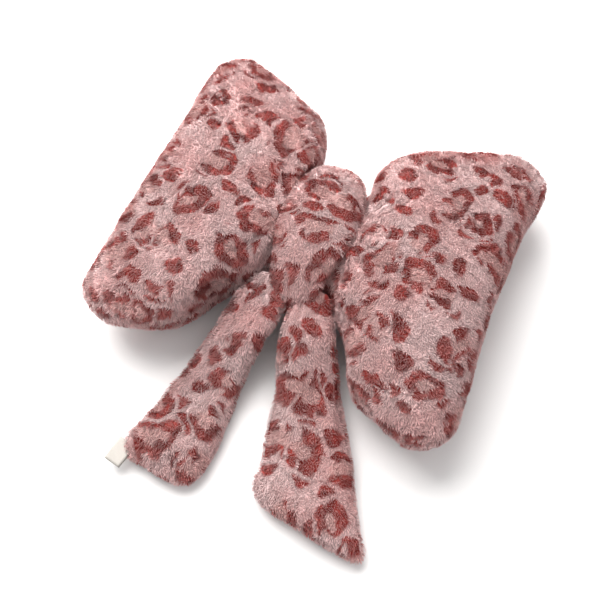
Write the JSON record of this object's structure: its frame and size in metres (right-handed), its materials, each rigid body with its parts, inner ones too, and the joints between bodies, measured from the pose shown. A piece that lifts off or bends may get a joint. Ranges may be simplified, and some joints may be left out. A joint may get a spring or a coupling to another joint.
{
  "type": "plush bow cushion",
  "caption": "Stuffed plush bow cushion in animal-print fleece: plump side wings, a puffy knot band and flat stuffed tails that hang from the knot.",
  "frame": {"origin": "under the middle of the knot, on the surface that the bow's flat back lies on", "axes": "+X along the bow towards the right wing, +Y away from the tails, +Z out of the bow's face"},
  "size_m": [0.46, 0.5168, 0.1158],
  "materials": {
    "print_fleece": "matte",
    "stuffing": "matte",
    "lining": "matte",
    "thread": "satin",
    "label_satin": "satin"
  },
  "bodies": {
    "knot": {"knot_cover": "print_fleece", "knot_padding": "stuffing", "knot_lining": "lining", "knot_closing_thread": "thread", "left_neck_gather": "print_fleece", "left_gather_thread": "thread", "left_tail_tack": "thread", "right_neck_gather": "print_fleece", "right_gather_thread": "thread", "right_tail_tack": "thread"},
    "left_wing": {"left_wing_front": "print_fleece", "left_wing_back": "print_fleece", "left_wing_stuffing": "stuffing", "left_wing_seam_thread": "thread"},
    "right_wing": {"right_wing_front": "print_fleece", "right_wing_back": "print_fleece", "right_wing_stuffing": "stuffing", "right_wing_seam_thread": "thread"},
    "left_tail": {"left_tail_front": "print_fleece", "left_tail_back": "print_fleece", "left_tail_stuffing": "stuffing", "left_tail_seam_thread": "thread", "care_label": "label_satin"},
    "right_tail": {"right_tail_front": "print_fleece", "right_tail_back": "print_fleece", "right_tail_stuffing": "stuffing", "right_tail_seam_thread": "thread"}
  },
  "joints": [
    {"name": "left_wing_fold", "type": "hinge", "parent": "knot", "child": "left_wing", "pos_m": [-0.0397, 0, 0.0965], "axis": [0, 1, 0], "range_deg": [0, 35]},
    {"name": "right_wing_fold", "type": "hinge", "parent": "knot", "child": "right_wing", "pos_m": [0.0397, 0, 0.0965], "axis": [0, -1, 0], "range_deg": [0, 35]},
    {"name": "left_tail_lift", "type": "hinge", "parent": "knot", "child": "left_tail", "pos_m": [-0.023, -0.0832, 0.0795], "axis": [-0.9816, 0.1908, 0], "range_deg": [0, 70]},
    {"name": "right_tail_lift", "type": "hinge", "parent": "knot", "child": "right_tail", "pos_m": [0.023, -0.0832, 0.0795], "axis": [-0.9304, -0.3665, 0], "range_deg": [0, 70]}
  ]
}
